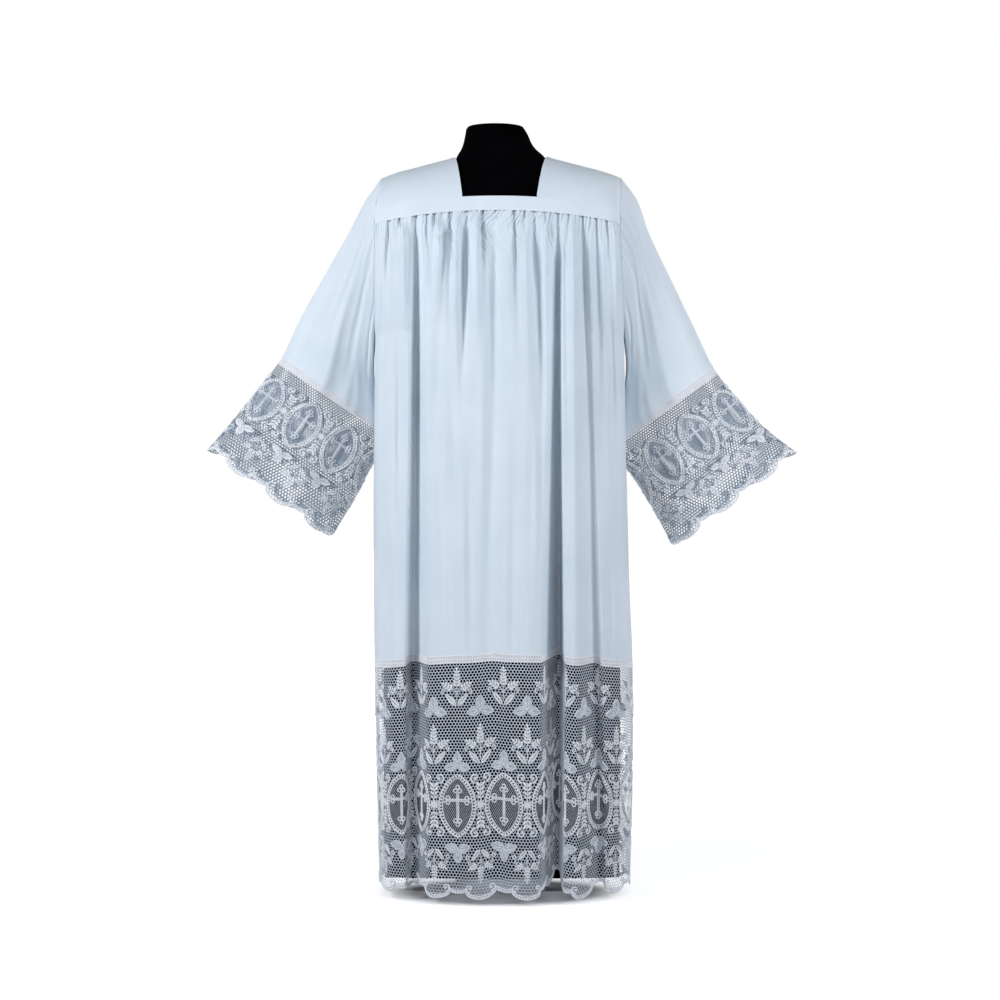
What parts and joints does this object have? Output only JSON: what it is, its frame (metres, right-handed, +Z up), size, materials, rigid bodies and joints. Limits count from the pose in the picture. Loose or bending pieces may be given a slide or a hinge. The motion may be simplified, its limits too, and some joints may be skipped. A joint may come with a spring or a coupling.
{
  "type": "lace alb on a dress form",
  "caption": "White alb with a square neckline, a gathered body and a deep lace flounce and lace cuffs, worn by a plain black limbless dress form on an oval base.",
  "frame": {"origin": "on the floor, under the middle of the part's box", "axes": "+Z up, -Y to the front of the garment, +X to the right as seen from the front"},
  "size_m": [1.2026, 0.326, 1.5543],
  "materials": {
    "white_cotton": "matte plain weave",
    "white_lace": "matte thread net with raised embroidery",
    "black_velvet": "matte short pile",
    "pale_steel": "satin powder coat"
  },
  "bodies": {
    "root": {"yoke_shoulder_left": "white_cotton", "yoke_shoulder_right": "white_cotton", "yoke_band_front": "white_cotton", "yoke_back": "white_cotton", "front_panel": "white_cotton", "back_panel": "white_cotton", "skirt_trim_front": "white_lace", "skirt_trim_back": "white_lace", "lace_flounce_front": "white_lace", "lace_flounce_back": "white_lace", "sleeve_left": "white_cotton", "cuff_trim_left": "white_lace", "cuff_lace_left": "white_lace", "sleeve_right": "white_cotton", "cuff_trim_right": "white_lace", "cuff_lace_right": "white_lace", "form_body": "black_velvet", "form_neck_cap": "black_velvet", "form_base": "pale_steel"}
  },
  "joints": []
}
